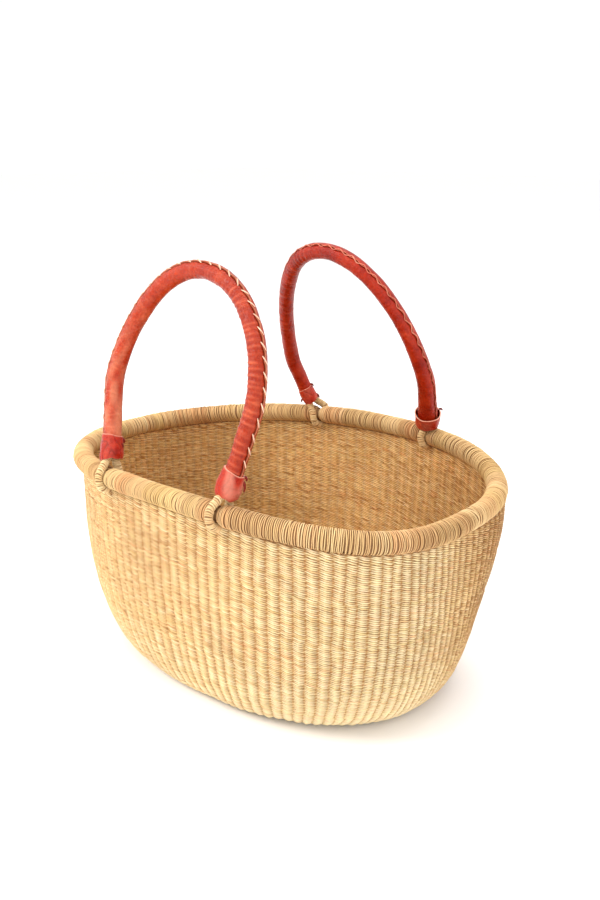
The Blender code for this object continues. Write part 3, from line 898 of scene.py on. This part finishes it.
def sleeve_radius(name, share):
    if name == "front":
        return 8.45 * MM + 0.18 * MM * np.sin(share * 9 + 0.5)
    return 8.15 * MM + 0.3 * MM * share + 2.5 * MM * share**8 + 0.12 * MM * np.sin(share * 14)


def seam_frames(name, shape, step):
    """Along a handle: its path, the places, directions out and to the rear, its seam's angle, its radius."""
    path, places = arch(shape, SLEEVE_START, step)
    along = unit(np.gradient(path, axis=0))
    out = unit(np.cross(along, (0, 1.0, 0)))
    share = places / places[-1]
    seam = np.radians(np.interp(share, *zip(*SEAM_TURNS[name])))
    return path, places, out, np.cross(out, along), share, seam, sleeve_radius(name, share)


def ridges(places, theta, seed, pitch, height, window, skew):
    """Crosswise wrinkles of a tight sleeve: each is a soft ridge that runs part of the way round."""
    dice = np.random.default_rng(seed)
    total = np.zeros((len(places), theta.shape[-1]))
    spot = 0.0
    while spot < places[-1]:
        spot += pitch * dice.uniform(0.6, 1.5)
        share = spot / places[-1]
        tall = np.interp(share, *zip(*height)) * dice.uniform(0.4, 1.25)
        centre = np.interp(share, *zip(*window)) + dice.normal(0, 0.35)
        reach = dice.uniform(0.9, 1.7)
        away = (theta - centre + pi) % (2 * pi) - pi
        lean = skew * dice.standard_normal() + 0.12
        band = bell(places[:, None] - spot - lean * 8 * MM * away, pitch * 0.26)
        total += tall * band * bell(away, reach)
    return total


def sleeve(name, shape, matrix, seed):
    """The leather tube, whose one edge laps over the other along a scalloped seam."""
    path, places, out, across, share, seam, radius = seam_frames(name, shape, 0.8 * MM)
    scallop = np.abs(np.sin(pi * places / STITCH[name]))
    edge = (1.3 * MM * (scallop - 0.5)) / radius
    fan = np.linspace(0.12, 2 * pi - 0.16, 74)
    around = np.concatenate([[0.0, 0.02, 0.05], fan, [2 * pi - 0.09, 2 * pi - 0.05, 2 * pi - 0.012]])
    theta = around[None] + edge[:, None]
    lap = np.where(around < pi, bell(around, 0.50), 0.0)
    lift = np.where(around < pi, bell(around, 0.16), 0.0)
    sink = np.where(around > pi, bell(2 * pi - around, 0.14), 0.0)
    tall = 0.95 * MM if name == "front" else 0.6 * MM
    r = radius[:, None] + tall * lap[None] + (0.45 * MM * scallop)[:, None] * lift[None]
    r = r - 0.7 * MM * sink[None]
    small = ((0, 0.07 * MM), (0.5, 0.10 * MM), (1.0, 0.08 * MM))
    if name == "front":
        height = ((0, 0.06 * MM), (0.45, 0.16 * MM), (0.60, 0.50 * MM), (1.0, 0.62 * MM))
        ringed = ridges(places, theta, seed, 5.4 * MM, height, ((0, 4.7), (0.5, 4.8), (1.0, 5.1)), 0.04)
        slanted = ((0, 0.34 * MM), (0.35, 0.26 * MM), (0.5, 0.04 * MM), (1, 0.0))
        ringed = ringed + ridges(places, theta, seed + 5, 4.2 * MM, slanted, ((0, 5.0), (1, 5.0)), 0.5)
        scuffed = 0.55 * (1 - share / 0.38).clip(0)
    else:
        height = ((0, 0.16 * MM), (0.25, 0.40 * MM), (0.42, 0.50 * MM), (0.5, 0.16 * MM), (1.0, 0.14 * MM))
        ringed = ridges(places, theta, seed, 4.6 * MM, height, ((0, 5.0), (0.5, 5.0), (1.0, 4.8)), 0.08)
        scuffed = 0.0 * share
    r = r + ringed + ridges(places, theta, seed + 1, 3.4 * MM, small, ((0, 3.4), (1, 3.4)), 0.1)
    r = r + 0.12 * MM * waves(theta, places[:, None], seed + 2, 1, 4, 0.02)
    r = r + 0.16 * MM * waves(theta, places[:, None], seed + 3, 0, 2, 0.05)
    crease = waves(theta, places[:, None], seed + 4, 2, 9, 0.012)
    r = r - 0.22 * MM * bell(crease, 0.22) * (1 - lap[None])
    turned = seam[:, None] - theta
    spoke = out[:, None] * np.cos(turned)[..., None] - across[:, None] * np.sin(turned)[..., None]
    points = path[:, None] + spoke * r[..., None]
    # Painted highlight: the tops of the ridges are made paler, besides the scuffs low on the front left leg.
    tops = (ringed / (0.5 * MM)).clip(0, 1)
    patchy = 0.5 + 0.5 * waves(theta, places[:, None], seed + 6, 1, 4, 0.03).clip(-1, 1)
    wear_and_highlight = 0.15 * tops**1.5 + scuffed[:, None] * patchy
    wear_and_highlight[:, 0] = 0.75
    wear_and_highlight[:, 1] = 0.50
    wear_and_highlight[:, 2] = 0.25
    # Painted shadow under the lapped edge, and painted shade in the hollows between the ridges.
    painted_shade = 1 - 0.50 * np.where(around > pi, bell(2 * pi - around, 0.11), 0.0)
    painted_shade = painted_shade[None] * (1 - 0.22 * (1 - tops) * np.interp(share, *zip(*height))[:, None] / (0.5 * MM))
    quads = grid_quads(1, len(path), len(around), False, True)
    values = {"wear_and_highlight": wear_and_highlight, "painted_shade": painted_shade}
    finish = front_leather if name == "front" else rear_leather
    add_mesh(
        f"{name}_handle_leather", placed(points, matrix), quads, f"{name}_handle", finish,
        (f"{name}_handle_sleeve",), values, sharp=50,
    )


def lace_of(name, stitches, matrix, finish):
    """Make a handle's lace of its stitches, each a row of four-cornered sections."""
    quads = grid_quads(*stitches.shape[:3], False, True)
    flat = np.zeros(stitches.shape[:3])
    points, values = placed(stitches, matrix), {"wear_and_highlight": flat, "painted_shade": flat + 1}
    stands_for, body = (f"{name}_handle_lacing",), f"{name}_handle"
    add_mesh(f"{name}_handle_lace", points, quads, body, finish, stands_for, values)


def thong(name, shape, matrix, seed):
    """The front handle's lace: one slant stitch over the lapped edge at each notch of its scallops."""
    path, places, out, across, _, seam, radius = seam_frames(name, shape, 0.5 * MM)
    dice = np.random.default_rng(seed)
    pitch = STITCH[name]
    points = []
    u = np.linspace(0, 1, 14)
    for k in range(2, int(places[-1] / pitch) - 1):
        length = FRONT_STITCH_LENGTH * dice.uniform(0.88, 1.12)
        here = k * pitch - length / 2 + length * u + dice.normal(0, 0.35 * MM)
        handed = -1 if k * pitch / places[-1] < 0.6 else 1
        slant = handed * (-1.9 * MM + 3.8 * MM * u) / 8.6 / MM
        over = np.interp(handed * (u - 0.5), (-0.5, 0.0, 0.5), (0.35, 0.95, 1.3)) * MM
        lift = over + 0.45 * MM * np.sin(pi * u.clip(0.02, 0.98)) ** 0.35
        centre, o, a = (sample(v, places, here) for v in (path, out, across))
        turned = np.interp(here, places, seam) - slant
        spoke = o * np.cos(turned)[:, None] - a * np.sin(turned)[:, None]
        middle = centre + spoke * (np.interp(here, places, radius) + lift)[:, None]
        side = unit(np.cross(unit(np.gradient(middle, axis=0)), spoke))
        taper = (0.55 + 0.45 * np.sin(pi * u))[:, None]
        wide, thick = 0.80 * MM * taper, 0.50 * MM * taper
        points.append(diamond(middle, spoke * thick, side * wide))
    lace_of(name, np.stack(points), matrix, lace_leather)


def thin_thong(name, shape, matrix, seed):
    """The rear handle's lace: a thin zigzag over the seam, sunk into its slits low on the right leg."""
    path, places, out, across, share, seam, radius = seam_frames(name, shape, 0.5 * MM)
    shown = slice(int(0.05 * len(path)), int(0.96 * len(path)))
    phase = places / STITCH[name] + 0.12 * np.sin(places / (31 * MM) + seed)
    zigzag = 2 / pi * np.arcsin(0.96 * np.sin(2 * pi * phase))
    over = np.interp(zigzag, (-1, 0, 1), (0.15, 0.65, 1.05)) * MM
    sunk = 1.6 * MM * ((share - 0.80) / 0.08).clip(0, 1)
    turned = seam - 1.7 * MM * zigzag / radius
    spoke = out * np.cos(turned)[:, None] - across * np.sin(turned)[:, None]
    middle = (path + spoke * (radius + over - sunk + 0.12 * MM)[:, None])[shown]
    spoke = spoke[shown]
    side = unit(np.cross(unit(np.gradient(middle, axis=0)), spoke))
    wide, thick = 0.55 * MM, 0.38 * MM
    lace_of(name, diamond(middle, spoke * thick, side * wide)[None], matrix, thread_leather)


# Each cuff's outer radius at heights above the loop's axis, how far its top and bottom edges rise
# towards one side of it in degrees, and the ends of thong that stick out: side, height, length
CUFFS = {
    ("front", -1): {
        "profile": ((17.0, 11.0), (22.0, 11.9), (32.0, 10.9), (40.5, 10.2)),
        "top": (0.9, -150), "bottom": (1.6, 30), "crease": 0.55, "scuffed": 0.04,
        "knots": ((38, 39.0, 4.0), (20, 34.0, 3.0)),
    },
    ("front", 1): {
        "profile": ((15.8, 8.6), (19.0, 11.2), (26.0, 12.3), (34.0, 11.4), (40.5, 10.3)),
        "top": (1.8, -140), "bottom": (0.8, -60), "crease": 0.22, "scuffed": 0.34,
        # This cuff's pale scuffs are partly painted highlight.
        "knots": ((30, 37.5, 3.5), (24, 33.0, 9.0)),
    },
    ("rear", -1): {
        "profile": ((18.0, 8.6), (22.0, 9.3), (30.0, 9.3), (37.0, 8.7)),
        "top": (0.6, 40), "bottom": (0.5, 30), "crease": 0.4, "scuffed": 0.10,
        "knots": ((-140, 23.0, 4.0), (40, 25.0, 6.0), (40, 39.0, 3.5)),
    },
    ("rear", 1): {
        "profile": ((16.0, 12.4), (20.0, 12.9), (26.0, 13.6), (31.0, 14.2)),
        "top": (1.2, 150), "bottom": (0.8, 20), "crease": 0.2, "scuffed": 0.10,
        "knots": ((48, 31.0, 3.0),),
    },
}


def cuff(name, side, shape, matrix, seed):
    """A leather cap over the foot of a leg, with uneven edges, and the ends of the thong that ties it."""
    size = CUFFS[name, side]
    place = "left" if side < 0 else "right"
    dice = np.random.default_rng(seed)
    count, levels = 96, 34
    around = 2 * pi * np.arange(count) / count
    v = np.linspace(0, 1, levels)
    low, high = size["profile"][0][0] * MM, size["profile"][-1][0] * MM
    tilted = {key: size[key][0] * MM * np.cos(around - radians(size[key][1])) for key in ("top", "bottom")}
    bottom_wave = 0.5 * np.sin(3 * around + dice.uniform(0, 6)) + 0.3 * np.sin(7 * around)
    top_wave = 0.35 * np.sin(2 * around + dice.uniform(0, 6)) + 0.2 * np.sin(5 * around)
    bottom = low + tilted["bottom"] + MM * bottom_wave
    top = high + tilted["top"] + MM * top_wave
    z = bottom[None] + (top - bottom)[None] * v[:, None]
    reach = side * leg_reach(shape, side, z)
    above, below = (leg_reach(shape, side, z + step) for step in (MM, -MM))
    slope = side * (above - below) / (2 * MM)
    heights, radii = (np.array(values) * MM for values in zip(*size["profile"]))
    r = np.interp(low + (high - low) * v, heights, radii)[:, None]
    r = r + 0.20 * MM * waves(around, z, seed + 1, 1, 6, 0.014)
    crease = waves(around, z, seed + 2, 1, 6, 0.020)
    r = r - size["crease"] * MM * bell(crease, 0.20)
    inner_r = r - 1.15 * MM
    sheets = []
    for radius in (r, inner_r[::-1]):
        flip = slice(None) if radius is r else slice(None, None, -1)
        x = reach[flip] + radius * np.cos(around)
        y = radius * np.sin(around)
        sheets.append(np.stack([x, y, z[flip] - slope[flip] * radius * np.cos(around)], axis=-1))
    points = np.concatenate(sheets)
    wear_and_highlight = np.zeros(points.shape[:2])
    patchy = waves(around, z, seed + 3, 1, 4, 0.03)
    wear_and_highlight[:levels] = size["scuffed"] * (0.5 + 0.6 * patchy).clip(0, 1)
    wear_and_highlight[levels - 1 : levels + 1] = 0.85
    wear_and_highlight[levels - 2] = 0.20
    wear_and_highlight[0] = 0.25
    # Painted shade: the inside of the cuff and its creases are made darker.
    painted_shade = np.ones(points.shape[:2])
    painted_shade[levels + 1 :] = 0.40
    painted_shade[: levels] *= 1 - 0.35 * bell(crease, 0.15) * min(1.0, size["crease"] * 2)
    quads = grid_quads(1, len(points), count, True, True)[:, ::-1]
    body, stands_for = f"{name}_handle", (f"{name}_{place}_cuff",)
    values = {"wear_and_highlight": wear_and_highlight, "painted_shade": painted_shade}
    shell = placed(points.reshape(-1, 3), matrix)
    cap = f"{name}_{place}_cuff_leather"
    add_mesh(cap, shell, quads, body, cuff_leather, stands_for, values, 50)
    ends = []
    for turn, height, length in size["knots"]:
        turn = radians(turn)
        at = np.interp(height * MM, heights, radii)
        outward = np.array([cos(turn), sin(turn), 0])
        foot_reach = leg_reach(shape, side, np.array(height * MM))
        foot = np.array([side * float(foot_reach), 0, height * MM])
        u = np.linspace(0, 1, 9)[:, None]
        away = at - 0.8 * MM + 2.6 * MM * np.sin(pi * u * 0.62)
        curl = foot + outward * away - np.array([0, 0, length * MM]) * u**1.6
        bar, _ = round_bar(curl, np.array([0.3, 1.0, 0.1]), 1.35 * MM * (1 - 0.55 * u[:, 0] ** 2), 7)
        ends.append(bar)
    points = np.stack(ends)
    quads = grid_quads(len(ends), points.shape[1], 7, False, True)[:, ::-1]
    flat = np.zeros(points.shape[:3])
    # The thong ends are made darker all over.
    values = {"wear_and_highlight": flat, "painted_shade": flat + 0.45}
    points = placed(points.reshape(-1, 3), matrix)
    tied = f"{name}_{place}_cuff_ends"
    add_mesh(tied, points, quads, body, cuff_leather, stands_for, values)


def handles():
    for k, (name, shape) in enumerate(HANDLES.items()):
        matrix, shape["half_span"] = handle_axis(shape)
        loops(name, shape, matrix, 300 + 20 * k)
        sleeve(name, shape, matrix, 400 + 20 * k)
        lace = thong if name == "front" else thin_thong
        lace(name, shape, matrix, 500 + 20 * k)
        for side in (-1, 1):
            cuff(name, side, shape, matrix, 600 + 20 * k + side)


# ---- the studio


def studio():
    """A white world and floor, three soft lamps and the camera."""
    scene = bpy.context.scene
    scene.view_settings.view_transform = "Standard"
    world = bpy.data.worlds.new("studio")
    scene.world = world
    world.use_nodes = True
    light = world.node_tree.nodes["Background"].inputs
    light["Color"].default_value = WORLD_COLOUR
    light["Strength"].default_value = WORLD_STRENGTH
    floor_mesh = bpy.data.meshes.new("floor")
    corners = [(x * FLOOR_HALF_SIZE, y * FLOOR_HALF_SIZE, 0) for x, y in ((-1, -1), (1, -1), (1, 1), (-1, 1))]
    floor_mesh.from_pydata(corners, [], [(0, 1, 2, 3)])
    t = Tree("floor")
    place = t.add("TexCoord").outputs["Object"]
    shade = t.noise(place, 3.0)
    t.finish(t.grey(t.spread(shade, 0.975, 0.985)), t.spread(shade, 0.85, 0.95), shade, 0.02, 0.0002)
    floor_mesh.materials.append(t.material)
    floor = bpy.data.objects.new("floor", floor_mesh)
    scene.collection.objects.link(floor)
    for name, spot, size, power, colour in LAMPS:
        lamp = bpy.data.lights.new(name, "AREA")
        lamp.shape = "DISK"
        lamp.size = size
        lamp.energy = power
        lamp.color = colour
        holder = bpy.data.objects.new(name, lamp)
        holder.location = spot
        holder.rotation_mode = "QUATERNION"
        holder.rotation_quaternion = (Vector(LAMP_TARGET) - Vector(spot)).to_track_quat("-Z", "Y")
        scene.collection.objects.link(holder)
    lens = bpy.data.cameras.new("camera")
    lens.lens = CAMERA_LENS
    lens.sensor_width = 36
    lens.clip_start = 0.02
    lens.clip_end = 40
    azimuth, elevation = radians(CAMERA_AZIMUTH), radians(CAMERA_ELEVATION)
    back = Vector((sin(azimuth) * cos(elevation), -cos(azimuth) * cos(elevation), sin(elevation)))
    camera = bpy.data.objects.new("camera", lens)
    camera.location = Vector(CAMERA_TARGET) + CAMERA_DISTANCE * back
    camera.rotation_mode = "QUATERNION"
    camera.rotation_quaternion = (-back).to_track_quat("-Z", "Y")
    scene.collection.objects.link(camera)
    scene.camera = camera


def dress_cores():
    """Give the cores, which stay as the CAD part's own solids, their grass."""
    for name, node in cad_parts.items():
        if name.endswith("core"):
            for slot in node.material_slots:
                slot.material = core_grass


woven_body()
rim()
handles()
dress_cores()
studio()
